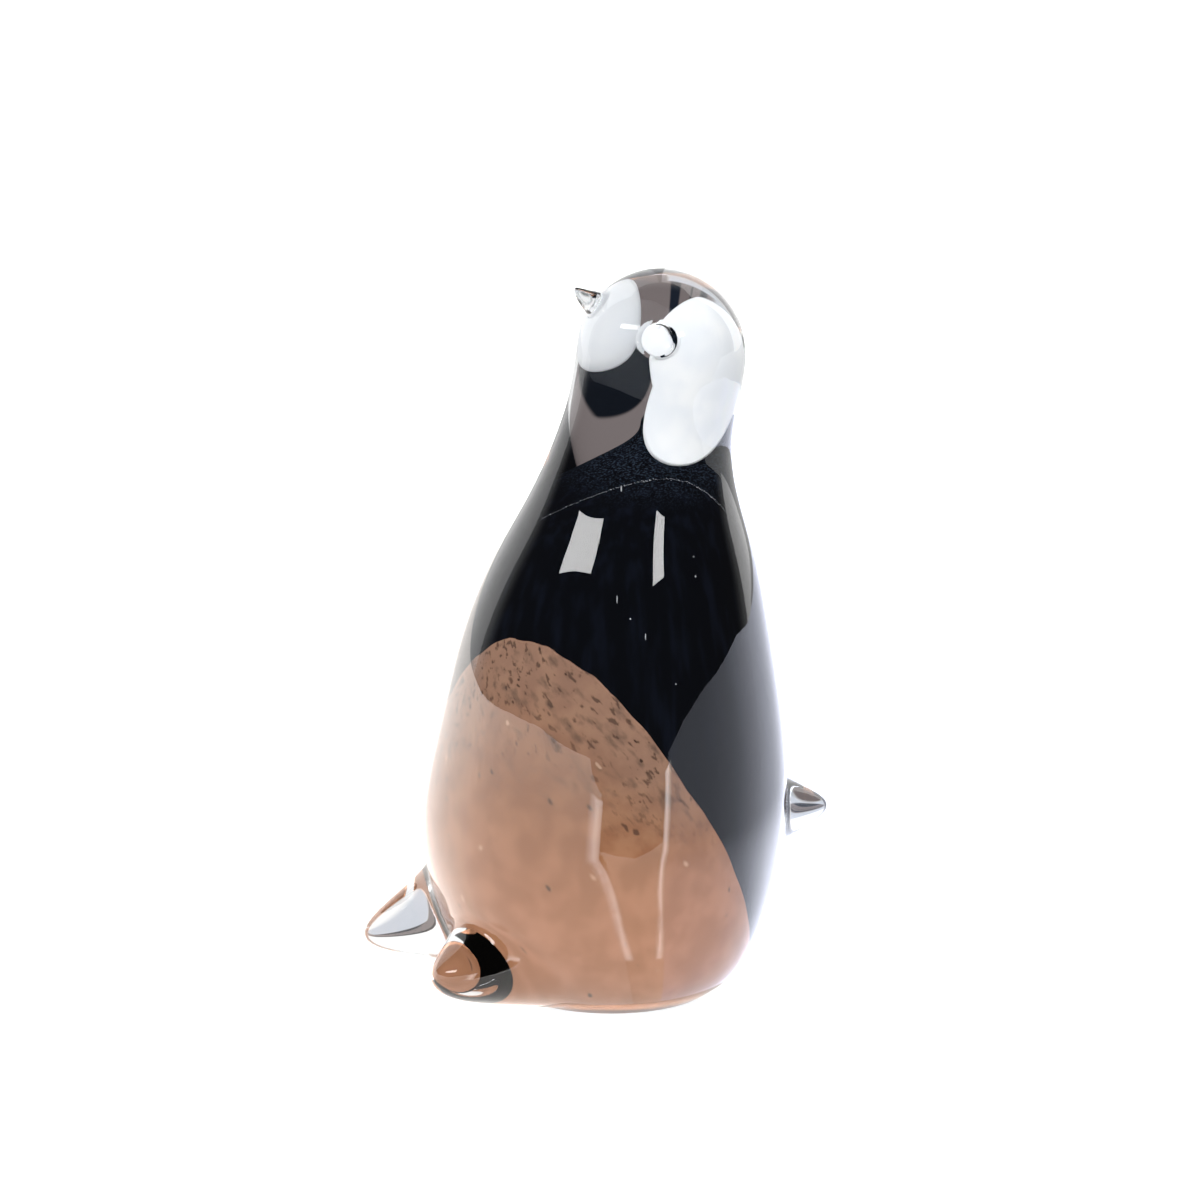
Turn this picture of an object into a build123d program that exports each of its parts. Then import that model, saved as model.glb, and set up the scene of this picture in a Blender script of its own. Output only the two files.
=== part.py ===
"""Solid glass penguin: a clear casing over a black core with a tan belly, two white cheeks, and bits of clear
glass drawn out for the beak, the feet and the tail. Millimetres, +Z up, facing -Y, its left side on +X.
The origin is the middle of the ground flat that it stands on."""

import os
from math import acos, cos, pi, radians, sin

from build123d import *

# Outer form of the clear casing
HEIGHT = 119.0
HEAD_RADIUS = 13.7
BELLY_RADIUS = 29.7
BASE_RADIUS = 16.6
HEAD_SET_BACK = 8.4

# Stations of the outer form, from the ground flat up to the belly and on up to the middle of the head.
# Heights are shares of the head's middle height, set-backs shares of HEAD_SET_BACK. A girth share of 0 is the
# end's own radius, the flat below and the head above, and 1 is the belly's.
LOWER_HEIGHT_SHARES = (0.0, 0.023, 0.084, 0.166)
LOWER_GIRTH_SHARES = (0.0, 0.275, 0.656, 0.901)
LOWER_SET_BACK_SHARES = (0.0, -0.036, -0.095, -0.131)
BELLY_HEIGHT_SHARE = 0.267
BELLY_SET_BACK_SHARE = -0.119
UPPER_HEIGHT_SHARES = (0.4235, 0.57, 0.696, 0.7815, 0.867, 0.9335, 1.0)
UPPER_GIRTH_SHARES = (0.891, 0.70, 0.431, 0.206, 0.044, 0.009, 0.0)
UPPER_SET_BACK_SHARES = (0.024, 0.131, 0.274, 0.452, 0.679, 0.869, 1.0)

# Core: the black gather and the tan that overlays its front and foot. Its top is drawn up into the nape and
# leans to the right. Lean shares are of CORE_LEAN.
CLEAR_WALL = 8.5
CLEAR_BASE = 1.2
CLEAR_CROWN = 22.5
CORE_TOP_RADIUS = 4.5
CORE_FOOT_RADIUS = 13.6
CORE_SET_BACK = 12.0
CORE_LEAN = 5.5
CORE_LOWER_HEIGHT_SHARES = (0.0, 0.031, 0.113)
CORE_LOWER_GIRTH_SHARES = (0.0, 0.395, 0.763)
CORE_LOWER_SET_BACK_SHARES = (0.0, -0.016, -0.05)
CORE_BELLY_HEIGHT_SHARE = 0.273
CORE_BELLY_SET_BACK_SHARE = -0.066
CORE_UPPER_HEIGHT_SHARES = (0.482, 0.648, 0.7885, 0.868, 0.934, 1.0)
CORE_UPPER_GIRTH_SHARES = (0.904, 0.766, 0.581, 0.401, 0.18, 0.0)
CORE_UPPER_SET_BACK_SHARES = (0.025, 0.117, 0.267, 0.52, 0.80, 1.0)
CORE_UPPER_LEAN_SHARES = (0.0, 0.0, 0.0, 0.167, 0.583, 1.0)

# Tan overlay: how thick it lies, where its slanting upper edge crosses the middle of the body, how steeply
# that edge runs, and how far round to the left of the front its highest point lies
TAN_THICKNESS = 2.5
TAN_EDGE_HEIGHT = 30.0
TAN_EDGE_SLOPE = 61.0
TAN_EDGE_TURN = 30.0

# White cheeks: dabs of opal glass that lie under the casing's skin on each side of the head, the left one long
# and the right one rounder, higher and further forward. A round of the same white lies under each eye.
LEFT_CHEEK_LENGTH = 26.4
LEFT_CHEEK_WIDTH = 16.2
LEFT_CHEEK_TILT = 14.5
LEFT_CHEEK_SET_BACK = 2.1
LEFT_CHEEK_DROP = 3.1
RIGHT_CHEEK_LENGTH = 18.2
RIGHT_CHEEK_WIDTH = 11.9
RIGHT_CHEEK_TILT = 6.5
RIGHT_CHEEK_SET_BACK = -3.5
RIGHT_CHEEK_DROP = -1.4
CHEEK_COVER = 1.5
CHEEK_THICKNESS = 1.5
CHEEK_NAPE_GAP = 3.0
EYE_WHITE_DIAMETER = 6.2

# Eyes: round dimples pressed into the head
EYE_DIAMETER = 5.7
EYE_DEPTH = 0.9
EYE_RIM_RADIUS = 0.35
EYE_TURN = 68.0
EYE_RISE = 21.0

# Drawn bits: clear glass pulled out of the casing. The flank of a pull rises from its root like a raised
# cosine, and is lofted from a root below the skin through ovals at these shares of its length. A ball ends it.
# A blunt share above 1 keeps the pull fuller towards its tip.
DRAWN_RISE_SHARES = (0.12, 0.35, 0.6, 0.8, 0.92)
PLAIN_BLUNT_SHARE = 1.0
LEFT_FOOT_BLUNT_SHARE = 1.4

BEAK_LENGTH = 4.9
BEAK_ROOT_HEIGHT = 5.4
BEAK_ROOT_WIDTH = 5.0
BEAK_TIP_RADIUS = 0.6
BEAK_SEAT_RISE = 38.0
BEAK_RISE = 10.0
BEAK_HOOK = 30.0

LEFT_FOOT_LENGTH = 11.3
LEFT_FOOT_TURN = 22.0
LEFT_FOOT_DROOP = 6.0
LEFT_FOOT_HEIGHT = 8.2
LEFT_FOOT_ROOT_HEIGHT = 15.2
LEFT_FOOT_ROOT_WIDTH = 19.0
LEFT_FOOT_TIP_RADIUS = 3.0
RIGHT_FOOT_LENGTH = 15.0
RIGHT_FOOT_TURN = -26.0
RIGHT_FOOT_DROOP = 17.0
RIGHT_FOOT_HEIGHT = 11.2
RIGHT_FOOT_ROOT_HEIGHT = 21.0
RIGHT_FOOT_ROOT_WIDTH = 17.6
RIGHT_FOOT_TIP_RADIUS = 2.0

TAIL_LENGTH = 9.3
TAIL_DROOP = 1.5
TAIL_HEIGHT = 27.5
TAIL_ROOT_HEIGHT = 15.4
TAIL_ROOT_WIDTH = 14.0
TAIL_TIP_RADIUS = 1.6

# How deep the root of each drawn bit starts below the casing's skin
ROOT_DEPTH = 6.0
BEAK_ROOT_DEPTH = 1.6

HEAD_MIDDLE_HEIGHT = HEIGHT - HEAD_RADIUS
HEAD_MIDDLE = Vector(0, HEAD_SET_BACK, HEAD_MIDDLE_HEIGHT)
BELLY_HEIGHT = HEAD_MIDDLE_HEIGHT * BELLY_HEIGHT_SHARE
BELLY_SET_BACK = HEAD_SET_BACK * BELLY_SET_BACK_SHARE
CORE_BELLY_RADIUS = BELLY_RADIUS - CLEAR_WALL
CORE_TOP_HEIGHT = HEIGHT - CLEAR_CROWN - CORE_TOP_RADIUS


def direction(turn, rise):
    """The unit vector at that many degrees round from the front towards the left side, and above the level."""
    level = cos(radians(rise))
    return Vector(sin(radians(turn)) * level, -cos(radians(turn)) * level, sin(radians(rise)))


def stations(foot_height, top_height, foot_radius, belly_radius, top_radius, set_back, lower, belly, upper):
    """(height, radius, set-back) of each level circle of a form, worked out from its tables of shares."""
    tall = top_height - foot_height
    found = []
    for height_share, girth_share, back_share in zip(*lower):
        girth = foot_radius + (belly_radius - foot_radius) * girth_share
        found.append((foot_height + tall * height_share, girth, set_back * back_share))
    height_share, back_share = belly
    found.append((foot_height + tall * height_share, belly_radius, set_back * back_share))
    for height_share, girth_share, back_share in zip(*upper):
        girth = top_radius + (belly_radius - top_radius) * girth_share
        found.append((foot_height + tall * height_share, girth, set_back * back_share))
    return found


OUTER_STATIONS = stations(
    0,
    HEAD_MIDDLE_HEIGHT,
    BASE_RADIUS,
    BELLY_RADIUS,
    HEAD_RADIUS,
    HEAD_SET_BACK,
    (LOWER_HEIGHT_SHARES, LOWER_GIRTH_SHARES, LOWER_SET_BACK_SHARES),
    (BELLY_HEIGHT_SHARE, BELLY_SET_BACK_SHARE),
    (UPPER_HEIGHT_SHARES, UPPER_GIRTH_SHARES, UPPER_SET_BACK_SHARES),
)
CORE_STATIONS = stations(
    CLEAR_BASE,
    CORE_TOP_HEIGHT,
    CORE_FOOT_RADIUS,
    CORE_BELLY_RADIUS,
    CORE_TOP_RADIUS,
    CORE_SET_BACK,
    (CORE_LOWER_HEIGHT_SHARES, CORE_LOWER_GIRTH_SHARES, CORE_LOWER_SET_BACK_SHARES),
    (CORE_BELLY_HEIGHT_SHARE, CORE_BELLY_SET_BACK_SHARE),
    (CORE_UPPER_HEIGHT_SHARES, CORE_UPPER_GIRTH_SHARES, CORE_UPPER_SET_BACK_SHARES),
)
upright = len(CORE_STATIONS) - len(CORE_UPPER_LEAN_SHARES)
CORE_LEANS = [0] * upright + [-CORE_LEAN * share for share in CORE_UPPER_LEAN_SHARES]


def side_at(height):
    """(radius, set-back) of the outer form at that height, straight between its stations."""
    for (low, low_radius, low_back), (high, high_radius, high_back) in zip(OUTER_STATIONS, OUTER_STATIONS[1:]):
        if low <= height <= high:
            share = (height - low) / (high - low)
            return low_radius + (high_radius - low_radius) * share, low_back + (high_back - low_back) * share


def rounded_form(circles, leans, inset):
    """A loft through the level circles, each smaller by inset, closed by a ball of the top circle's size."""
    with BuildPart() as form:
        for (height, radius, set_back), lean in zip(circles, leans):
            with BuildSketch(Plane.XY.offset(height)):
                with Locations((lean, set_back)):
                    Circle(radius - inset)
        loft()
        top_height, top_radius, top_set_back = circles[-1]
        with Locations((leans[-1], top_set_back, top_height)):
            Sphere(top_radius - inset)
    return form.part


def drawn_bit(path, root_depth, root_height, root_width, tip_radius, blunt_share):
    """A bit of hot glass drawn out along path, from a wide oval root below the skin to a ball at its end."""
    root_share = root_depth / path.length
    sections = [(0, 1)]
    for rise_share in DRAWN_RISE_SHARES:
        size_share = (acos(2 * rise_share - 1) / pi) ** (1 / blunt_share)
        sections.append((root_share + (1 - root_share) * rise_share, size_share))
    with BuildPart() as bit:
        for length_share, size_share in sections:
            along = path % length_share
            across = Vector(0, 0, 1).cross(along)
            with BuildSketch(Plane(origin=path @ length_share, x_dir=across, z_dir=along)):
                Ellipse(root_width / 2 * size_share, root_height / 2 * size_share)
        loft()
        with Locations(path @ (1 - tip_radius / path.length)):
            Sphere(tip_radius)
    return bit.part


UPRIGHT = [0] * len(OUTER_STATIONS)
outer = rounded_form(OUTER_STATIONS, UPRIGHT, 0)
core = rounded_form(CORE_STATIONS, CORE_LEANS, 0)

# Tan belly: the core's skin below the slanting edge, with its own floor under the black
steep = direction(TAN_EDGE_TURN, 0) * sin(radians(TAN_EDGE_SLOPE))
tan_edge = Plane(
    origin=(0, 0, TAN_EDGE_HEIGHT),
    z_dir=(-steep.X, -steep.Y, cos(radians(TAN_EDGE_SLOPE))),
)
with BuildPart() as core_inside:
    add(rounded_form(CORE_STATIONS, CORE_LEANS, TAN_THICKNESS))
    split(bisect_by=Plane.XY.offset(CLEAR_BASE + TAN_THICKNESS), keep=Keep.TOP)

with BuildPart() as tan_belly:
    add(core)
    split(bisect_by=tan_edge, keep=Keep.BOTTOM)
    add(core_inside.part, mode=Mode.SUBTRACT)
tan_belly.part.label = "tan_belly"

# Black core: the rest of the core
with BuildPart() as black_core:
    add(core)
    add(tan_belly.part, mode=Mode.SUBTRACT)
black_core.part.label = "black_core"


def cheek(side, length, width, tilt, set_back, drop, name):
    """A slice of even thickness under the casing's skin on one side, cut to a leaning oval and a round."""
    under_eye = HEAD_MIDDLE + direction(side * EYE_TURN, EYE_RISE) * (HEAD_RADIUS - CHEEK_COVER)
    with BuildPart() as made:
        add(rounded_form(OUTER_STATIONS, UPRIGHT, CHEEK_COVER))
        add(rounded_form(OUTER_STATIONS, UPRIGHT, CHEEK_COVER + CHEEK_THICKNESS), mode=Mode.SUBTRACT)
        with BuildSketch(Plane.YZ.offset(side * CHEEK_NAPE_GAP / 2)):
            with Locations((HEAD_SET_BACK + set_back, HEAD_MIDDLE_HEIGHT - drop)):
                Ellipse(width / 2, length / 2, rotation=-tilt)
            with Locations((under_eye.Y, under_eye.Z)):
                Circle(EYE_WHITE_DIAMETER / 2)
        extrude(amount=side * BELLY_RADIUS, mode=Mode.INTERSECT)
    made.part.label = name
    return made.part


white_cheek_left = cheek(
    1,
    LEFT_CHEEK_LENGTH,
    LEFT_CHEEK_WIDTH,
    LEFT_CHEEK_TILT,
    LEFT_CHEEK_SET_BACK,
    LEFT_CHEEK_DROP,
    "white_cheek_left",
)
white_cheek_right = cheek(
    -1,
    RIGHT_CHEEK_LENGTH,
    RIGHT_CHEEK_WIDTH,
    RIGHT_CHEEK_TILT,
    RIGHT_CHEEK_SET_BACK,
    RIGHT_CHEEK_DROP,
    "white_cheek_right",
)

# Clear casing: the outer form round the colours, with an eye pressed into each side of the head
eye_ball_radius = ((EYE_DIAMETER / 2) ** 2 + EYE_DEPTH**2) / (2 * EYE_DEPTH)
eye_rim_distance = (HEAD_RADIUS**2 - (EYE_DIAMETER / 2) ** 2) ** 0.5
eye_ball_distance = eye_rim_distance - EYE_DEPTH + eye_ball_radius
with BuildPart() as clear_casing:
    add(outer)
    for side in (1, -1):
        with Locations(HEAD_MIDDLE + direction(side * EYE_TURN, EYE_RISE) * eye_ball_distance):
            Sphere(eye_ball_radius, rotation=(0, 0, -90), mode=Mode.SUBTRACT)
    circles = clear_casing.edges().filter_by(GeomType.CIRCLE)
    fillet(circles.filter_by(lambda edge: edge.radius < EYE_DIAMETER), EYE_RIM_RADIUS)
    for colour in (core, white_cheek_left, white_cheek_right):
        add(colour, mode=Mode.SUBTRACT)
clear_casing.part.label = "clear_casing"

# Beak: drawn from high on the face, with its tip turned up
beak_seat = HEAD_MIDDLE + direction(0, BEAK_SEAT_RISE) * HEAD_RADIUS
beak_root = beak_seat - direction(0, BEAK_RISE) * BEAK_ROOT_DEPTH
beak_path_length = BEAK_ROOT_DEPTH + BEAK_LENGTH
beak_bend_radius = beak_path_length / radians(BEAK_HOOK)
with BuildLine(Plane(origin=beak_root, x_dir=(0, -1, 0), z_dir=(1, 0, 0))) as beak_path:
    JernArc(
        start=(0, 0),
        tangent=(cos(radians(BEAK_RISE)), sin(radians(BEAK_RISE))),
        radius=beak_bend_radius,
        arc_size=BEAK_HOOK,
    )
with BuildPart() as beak:
    add(
        drawn_bit(
            beak_path.edge(),
            BEAK_ROOT_DEPTH,
            BEAK_ROOT_HEIGHT,
            BEAK_ROOT_WIDTH,
            BEAK_TIP_RADIUS,
            PLAIN_BLUNT_SHARE,
        )
    )
    add(outer, mode=Mode.SUBTRACT)
beak.part.label = "beak"


def straight_bit(turn, droop, height, length, root_height, root_width, tip_radius, blunt_share, name):
    """A bit drawn straight out of the body's side at that turn and height, drooping a little."""
    pull = direction(turn, -droop)
    girth, set_back = side_at(height)
    seat = Vector(0, set_back, height) + direction(turn, 0) * girth
    with BuildLine() as path:
        Line(seat - pull * ROOT_DEPTH, seat + pull * length)
    with BuildPart() as made:
        add(drawn_bit(path.edge(), ROOT_DEPTH, root_height, root_width, tip_radius, blunt_share))
        add(outer, mode=Mode.SUBTRACT)
        split(bisect_by=Plane.XY, keep=Keep.TOP)
    made.part.label = name
    return made.part


left_foot = straight_bit(
    LEFT_FOOT_TURN,
    LEFT_FOOT_DROOP,
    LEFT_FOOT_HEIGHT,
    LEFT_FOOT_LENGTH,
    LEFT_FOOT_ROOT_HEIGHT,
    LEFT_FOOT_ROOT_WIDTH,
    LEFT_FOOT_TIP_RADIUS,
    LEFT_FOOT_BLUNT_SHARE,
    "left_foot",
)
right_foot = straight_bit(
    RIGHT_FOOT_TURN,
    RIGHT_FOOT_DROOP,
    RIGHT_FOOT_HEIGHT,
    RIGHT_FOOT_LENGTH,
    RIGHT_FOOT_ROOT_HEIGHT,
    RIGHT_FOOT_ROOT_WIDTH,
    RIGHT_FOOT_TIP_RADIUS,
    PLAIN_BLUNT_SHARE,
    "right_foot",
)
tail = straight_bit(
    180,
    TAIL_DROOP,
    TAIL_HEIGHT,
    TAIL_LENGTH,
    TAIL_ROOT_HEIGHT,
    TAIL_ROOT_WIDTH,
    TAIL_TIP_RADIUS,
    PLAIN_BLUNT_SHARE,
    "tail",
)

os.makedirs("parts", exist_ok=True)
for piece in (
    clear_casing.part,
    black_core.part,
    tan_belly.part,
    white_cheek_left,
    white_cheek_right,
    beak.part,
    left_foot,
    right_foot,
    tail,
):
    export_step(piece, f"parts/{piece.label}.step")
    print(piece.label, len(piece.solids()), "solid", round(piece.volume), "mm3", piece.bounding_box().size)
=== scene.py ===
# %% [markdown]
# # A solid glass penguin
# The figure is one lump of hot-worked glass. A black gather is overlaid with tan on its front, two dabs of
# opal white are laid on for the cheeks, and all of it is cased in clear glass. The beak, the feet and the tail
# are then pulled out of the hot clear skin, and an eye is pressed into each side of the head.
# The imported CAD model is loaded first. It is the frame: every mesh below is in its metres and on its axes,
# with +Z up, the penguin facing -Y and its left side on +X.

# %% Load the frame
import math

import bpy
import numpy as np
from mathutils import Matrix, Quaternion, Vector


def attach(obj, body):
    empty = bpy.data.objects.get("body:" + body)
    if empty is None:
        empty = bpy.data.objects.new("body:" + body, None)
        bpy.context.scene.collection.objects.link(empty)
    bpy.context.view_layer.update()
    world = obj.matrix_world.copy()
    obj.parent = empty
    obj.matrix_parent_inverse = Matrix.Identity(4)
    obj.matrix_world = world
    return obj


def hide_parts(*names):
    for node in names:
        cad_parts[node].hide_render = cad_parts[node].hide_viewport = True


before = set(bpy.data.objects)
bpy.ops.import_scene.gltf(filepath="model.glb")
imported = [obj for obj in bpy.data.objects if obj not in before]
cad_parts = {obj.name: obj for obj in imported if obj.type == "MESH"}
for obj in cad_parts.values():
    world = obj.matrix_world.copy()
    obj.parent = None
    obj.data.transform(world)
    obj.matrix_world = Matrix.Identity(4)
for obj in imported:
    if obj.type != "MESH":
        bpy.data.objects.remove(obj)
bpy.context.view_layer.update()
MM = 0.001

# %% [markdown]
# ## Turned forms
# Gathered glass is turned as it cools, so each form here is a stack of level circles whose radius and middle
# change smoothly with height. A Screw modifier or a subdivided cage could make one. A natural cubic spline
# through a few stations is worked out here instead, because its curvature is continuous too, and that matters
# on glass: a reflection shows every break in curvature.


# %% Splines up a form's side
def natural_spline(knots, values, at):
    """Values at the given places of the natural cubic spline through the knots."""
    knots, values, at = (np.asarray(a, float) for a in (knots, values, at))
    gaps = np.diff(knots)
    slopes = np.diff(values) / gaps
    matrix = np.eye(len(knots))
    right = np.zeros(len(knots))
    for i in range(1, len(knots) - 1):
        matrix[i, i - 1 : i + 2] = gaps[i - 1], 2 * (gaps[i - 1] + gaps[i]), gaps[i]
        right[i] = 6 * (slopes[i] - slopes[i - 1])
    bend = np.linalg.solve(matrix, right)
    i = np.clip(np.searchsorted(knots, at) - 1, 0, len(gaps) - 1)
    a, b = (knots[i + 1] - at) / gaps[i], (at - knots[i]) / gaps[i]
    curve = ((a**3 - a) * bend[i] + (b**3 - b) * bend[i + 1]) * gaps[i] ** 2 / 6
    return a * values[i] + b * values[i + 1] + curve


print("half-way up a bump 1 high the spline is at", natural_spline([0, 1, 2], [0, 1, 0], [0.5]).round(3))

# %% [markdown]
# The top of a form is a ball that the spline runs into. Points are set over the ball and a little way down its
# far side, so that the spline comes to the crown level, and the table stops at the crown.

# %% Profiles
DOME_ANGLES = (25, 50, 75, 90, 105, 130)
PROFILE_ROWS = 1200


def turned_profile(stations, top_radius):
    """A fine table of (height, radius, set-back, lean) up a form's side, closed over by a ball."""
    top_height, _, top_back, top_lean = stations[-1]
    over = [math.radians(a) for a in DOME_ANGLES]
    dome = [(top_height + top_radius * math.sin(a), top_radius * math.cos(a), top_back, top_lean) for a in over]
    rows = np.array(list(stations) + dome)
    knots = np.concatenate([[0], np.cumsum(np.hypot(*np.diff(rows[:, :2], axis=0).T))])
    crown = knots[len(stations) + DOME_ANGLES.index(90)]
    at = np.linspace(0, crown, PROFILE_ROWS)
    table = np.array([natural_spline(knots, rows[:, k], at) for k in range(4)]).T
    table[-1, 1] = 0
    return table


print("a profile has", PROFILE_ROWS, "rows")

# %% [markdown]
# ## Meshes
# A stack of circles becomes a grid of points, and neighbouring points of the grid make the faces. Mesh code is
# used rather than modifiers, because the grid can then be made finer only where the form needs it. Directions
# are given as a maker would: so many degrees round from the front, and so many above the level.


# %% Rings, faces and pieces
def rings(table, turns):
    """Points of the level circles of a profile, (row, column, xyz), with turn 0 at the front."""
    height, radius, back, lean = (table[:, k][:, None] for k in range(4))
    x = lean + radius * np.sin(turns)
    y = back - radius * np.cos(turns)
    return np.stack([x, y, np.broadcast_to(height, x.shape)], axis=2)


def grid_faces(rows, columns, start=0, closed=True):
    """Quads of a grid of points laid out row by row, going round if closed."""
    faces = []
    for r in range(rows - 1):
        for c in range(columns if closed else columns - 1):
            d = (c + 1) % columns
            low, high = start + r * columns, start + (r + 1) * columns
            faces.append((low + c, low + d, high + d, high + c))
    return faces


def make_piece(name, points, faces):
    """A smooth mesh object from points in millimetres."""
    mesh = bpy.data.meshes.new(name)
    mesh.from_pydata((np.asarray(points, float).reshape(-1, 3) * MM).tolist(), [], faces)
    mesh.polygons.foreach_set("use_smooth", [True] * len(mesh.polygons))
    mesh.validate()
    piece = bpy.data.objects.new(name, mesh)
    bpy.context.collection.objects.link(piece)
    print(name, len(mesh.polygons), "faces")
    return piece


def facing(turn, rise=0.0):
    """The unit vector that many degrees round from the front towards the left side, and above the level."""
    t, e = math.radians(turn), math.radians(rise)
    return np.array([math.sin(t) * math.cos(e), -math.cos(t) * math.cos(e), math.sin(e)])


print("the left side faces", facing(90).round(3))

# %% [markdown]
# ## The clear skin
# On the real object the casing, beak, feet and tail are one skin of clear glass, because the bits are melted
# in and drawn out. Separate closed meshes would show a false surface where they meet, so one mesh stands for
# all five solids. It starts as the turned form of the casing. The stations (height, radius, set-back and lean,
# in millimetres) are the CAD model's to a quarter of a millimetre, set so that the shoulder mirrors a window
# as a clean patch.

# %% The casing's form
HEAD_RADIUS = 13.7
HEAD_MIDDLE = np.array([0, 8.4, 105.3])
casing_stations = [
    (0.0, 16.6, 0.0, 0.0),
    (2.4, 20.2, -0.3, 0.0),
    (8.8, 25.2, -0.8, 0.0),
    (17.5, 28.4, -1.1, 0.0),
    (28.1, 29.69, -1.0, 0.0),
    (44.6, 27.95, 0.2, 0.0),
    (60.0, 24.89, 1.0, 0.0),
    (73.3, 20.74, 2.55, 0.0),
    (82.3, 16.94, 3.85, 0.0),
    (91.3, 14.44, 5.5, 0.0),
    (98.3, 13.85, 7.3, 0.0),
    (105.3, 13.7, 8.4, 0.0),
]
casing_profile = turned_profile(casing_stations, HEAD_RADIUS)
tall, radius = casing_profile[-1, 0], casing_profile[:, 1].max()
print("casing", tall.round(1), "mm tall, widest radius", radius.round(2), "mm")

# %% [markdown]
# The grid has to be fine where a bit is drawn out or an eye pressed in, and it may be coarse elsewhere. An even
# grid would need several times the faces. Instead a weight along the side, and another round the form, packs
# the rows and columns together at those places.

# %% The casing's grid
ROWS, COLUMNS = 330, 288
FOOT_ZONE, HEAD_ZONE, ROW_GAIN = (18, 24), (-14, 19), 1.6
BIT_TURNS, BIT_HALF_TURN, COLUMN_GAIN = (0, 23, 68, 180, 292, 335, 360), 0.22, 0.9
CROWN_HOLE, FINE_STEPS = 0.02, 6000


def along(table):
    """Distance up the side at each row of a profile."""
    return np.concatenate([[0], np.cumsum(np.hypot(*np.diff(table[:, :2], axis=0).T))])


def spread(length, count, places, gain):
    """Places from 0 to length, closer together by the gain about each (middle, half-width)."""
    fine = np.linspace(0, length, FINE_STEPS)
    weight = np.ones_like(fine)
    for middle, half in places:
        weight += gain * np.exp(-(((fine - middle) / half) ** 4))
    total = np.concatenate([[0], np.cumsum((weight[1:] + weight[:-1]) / 2)])
    return np.interp(np.linspace(0, total[-1], count), total, fine)


side = along(casing_profile)
row_places = spread(side[-1], ROWS, [(side[-1] + HEAD_ZONE[0], HEAD_ZONE[1]), FOOT_ZONE], ROW_GAIN)
skin_table = np.array([np.interp(row_places, side, casing_profile[:, k]) for k in range(4)]).T
skin_table[-1, 1] = CROWN_HOLE
bit_zones = [(math.radians(a), BIT_HALF_TURN) for a in BIT_TURNS]
turns = spread(2 * math.pi, COLUMNS + 1, bit_zones, COLUMN_GAIN)[:-1]
skin = rings(skin_table, turns)
print("casing's grid", skin.shape[:2], "rows and columns")

# %% [markdown]
# A bit pulled out of soft glass rises like a raised cosine: a flare at the root, a straight flank and a round
# tip. A cone joined on would show its seam, so each vertex near the bit's axis is moved along the pull by that
# curve, and the skin stays unbroken. The beak is pinched last, and its tip is turned up.

# %% Pull the bits
ROOT_DEPTH, BODY_SHARE = 0.6, 0.6
BITS = (  # seat's turn and height, pull's turn and rise, reach, half width, half height, bluntness
    (-26, 10.6, -26, -17, 14.9, 8.8, 11.6, 1.0),  # right foot
    (24, 7.6, 21, -6, 11.3, 12.6, 9.8, 1.15),  # left foot
    (180, 27.5, 180, -1.5, 9.2, 7.0, 7.7, 1.0),  # tail
)
BEAK_SEAT_RISE, BEAK_RISE, BEAK_REACH, BEAK_HOOK = 39, 21, 4.6, 1.1
BEAK_HALF_WIDTH, BEAK_HALF_HEIGHT = 2.4, 2.8


def pull_bit(points, seat, pull, reach, half_width, half_height, blunt=1.0, hook=0.0):
    """Draws the skin out along pull by reach, round the axis through seat, and turns the tip up by hook."""
    across = np.cross([0, 0, 1], pull)
    across /= np.linalg.norm(across)
    up = np.cross(pull, across)
    from_seat = points - seat
    near = from_seat @ pull > -ROOT_DEPTH * max(half_width, half_height)
    q = np.minimum(np.hypot(from_seat @ across / half_width, from_seat @ up / half_height), 1)
    rise = np.where(near, (1 + np.cos(np.pi * q**blunt)) / 2, 0.0)
    return points + (rise * reach)[..., None] * pull + (rise**2 * hook)[..., None] * up


def skin_seat(turn, height):
    """The point of the casing's side at that turn and height, below the head."""
    below = casing_profile[: int(len(casing_profile) * BODY_SHARE)]
    radius, back = (np.interp(height, below[:, 0], below[:, k]) for k in (1, 2))
    return np.array([0, back, height]) + facing(turn) * radius


for seat_turn, seat_height, turn, rise, *form in BITS:
    skin = pull_bit(skin, skin_seat(seat_turn, seat_height), facing(turn, rise), *form)
beak_seat = HEAD_MIDDLE + facing(0, BEAK_SEAT_RISE) * HEAD_RADIUS
beak_pull = facing(0, BEAK_RISE)
skin = pull_bit(skin, beak_seat, beak_pull, BEAK_REACH, BEAK_HALF_WIDTH, BEAK_HALF_HEIGHT, hook=BEAK_HOOK)
print("feet reach y", skin[..., 1].min().round(1), "mm and the tail y", skin[..., 1].max().round(1), "mm")

# %% [markdown]
# The eyes are pressed with a round punch while the glass is soft. A boolean cut would leave a hard edge, so the
# vertices under the punch are pushed in instead. The dimple is shallow and flat, with a soft rim.

# %% Press the eyes
EYE_RADIUS, EYE_DEPTH, EYE_TURN, EYE_RISE, EYE_FLATNESS = 2.85, 1.1, 68, 19.5, 6
for sign in (1, -1):
    out = facing(sign * EYE_TURN, EYE_RISE)
    from_head = skin - HEAD_MIDDLE
    aside = np.linalg.norm(from_head - (from_head @ out)[..., None] * out, axis=2)
    q = aside / EYE_RADIUS
    pressed = EYE_DEPTH * np.clip(1 - q**EYE_FLATNESS, 0, 1)
    pressed = np.where(from_head @ out > 0, pressed, 0.0)
    skin = skin - pressed[..., None] * out
    print("eye pressed in by", pressed.max().round(2), "mm")

# %% [markdown]
# One small face closes the crown. The foot is ground flat once the glass is cold, so rings that shrink to the
# middle close it, and their faces are shaded flat: a smooth shade would round off the ground edge.

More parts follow.
